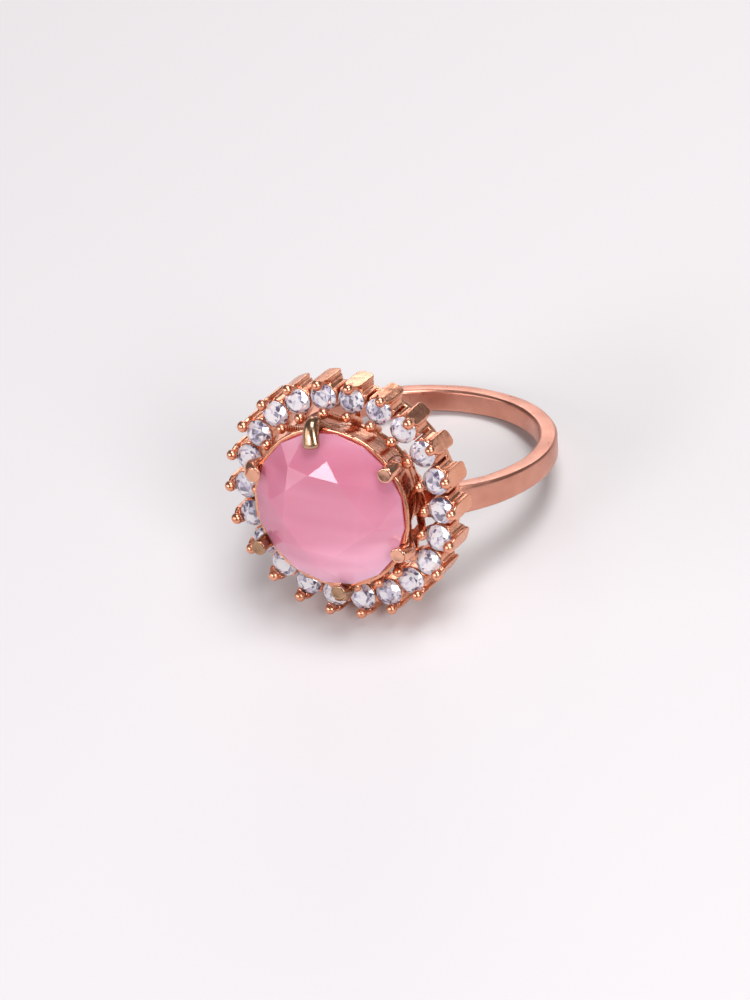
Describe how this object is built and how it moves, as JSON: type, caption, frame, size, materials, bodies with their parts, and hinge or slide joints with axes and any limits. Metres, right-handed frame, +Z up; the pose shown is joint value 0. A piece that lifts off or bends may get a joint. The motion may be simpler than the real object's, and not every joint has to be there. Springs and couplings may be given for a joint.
{
  "type": "cocktail ring",
  "caption": "Rose gold-coloured cocktail ring: round faceted pink centre stone in claws, ringed by a halo of small clear stones in separate settings, on a plain band",
  "frame": {"origin": "on the ground plane, under the middle of the ring's bounding box, with the ring lying on its side", "axes": "+Z up; -Y is the side that the centre stone faces, tipped up by about 20 degrees; +X runs across the head; the ring is level across X, with the finger hole's axis about 20 degrees off vertical"},
  "size_m": [0.0198, 0.0248, 0.0166],
  "materials": {
    "rose_gold_band": "rose gold plate, satin, roughness about 0.3",
    "rose_gold_head": "rose gold plate, cast and tumbled, semi-gloss",
    "rose_gold_polished": "rose gold plate, polished",
    "centre_stone": "milky translucent pink, polished facets",
    "halo_stone": "clear, polished facets, high sparkle"
  },
  "bodies": {
    "root": {"shank": "rose_gold_band", "halo_rail": "rose_gold_head", "basket_rail": "rose_gold_head", "centre_collar": "rose_gold_polished", "centre_stone": "centre_stone", "claw_1": "rose_gold_polished", "claw_2": "rose_gold_polished", "claw_3": "rose_gold_polished", "claw_4": "rose_gold_polished", "claw_5": "rose_gold_polished", "claw_6": "rose_gold_polished", "setting_01": "rose_gold_head", "halo_stone_01": "halo_stone", "setting_02": "rose_gold_head", "halo_stone_02": "halo_stone", "setting_03": "rose_gold_head", "halo_stone_03": "halo_stone", "setting_04": "rose_gold_head", "halo_stone_04": "halo_stone", "setting_05": "rose_gold_head", "halo_stone_05": "halo_stone", "setting_06": "rose_gold_head", "halo_stone_06": "halo_stone", "setting_07": "rose_gold_head", "halo_stone_07": "halo_stone", "setting_08": "rose_gold_head", "halo_stone_08": "halo_stone", "setting_09": "rose_gold_head", "halo_stone_09": "halo_stone", "setting_10": "rose_gold_head", "halo_stone_10": "halo_stone", "setting_11": "rose_gold_head", "halo_stone_11": "halo_stone", "setting_12": "rose_gold_head", "halo_stone_12": "halo_stone", "setting_13": "rose_gold_head", "halo_stone_13": "halo_stone", "setting_14": "rose_gold_head", "halo_stone_14": "halo_stone", "setting_15": "rose_gold_head", "halo_stone_15": "halo_stone", "setting_16": "rose_gold_head", "halo_stone_16": "halo_stone", "setting_17": "rose_gold_head", "halo_stone_17": "halo_stone", "setting_18": "rose_gold_head", "halo_stone_18": "halo_stone", "setting_19": "rose_gold_head", "halo_stone_19": "halo_stone", "setting_20": "rose_gold_head", "halo_stone_20": "halo_stone", "setting_21": "rose_gold_head", "halo_stone_21": "halo_stone", "setting_22": "rose_gold_head", "halo_stone_22": "halo_stone"}
  },
  "joints": []
}
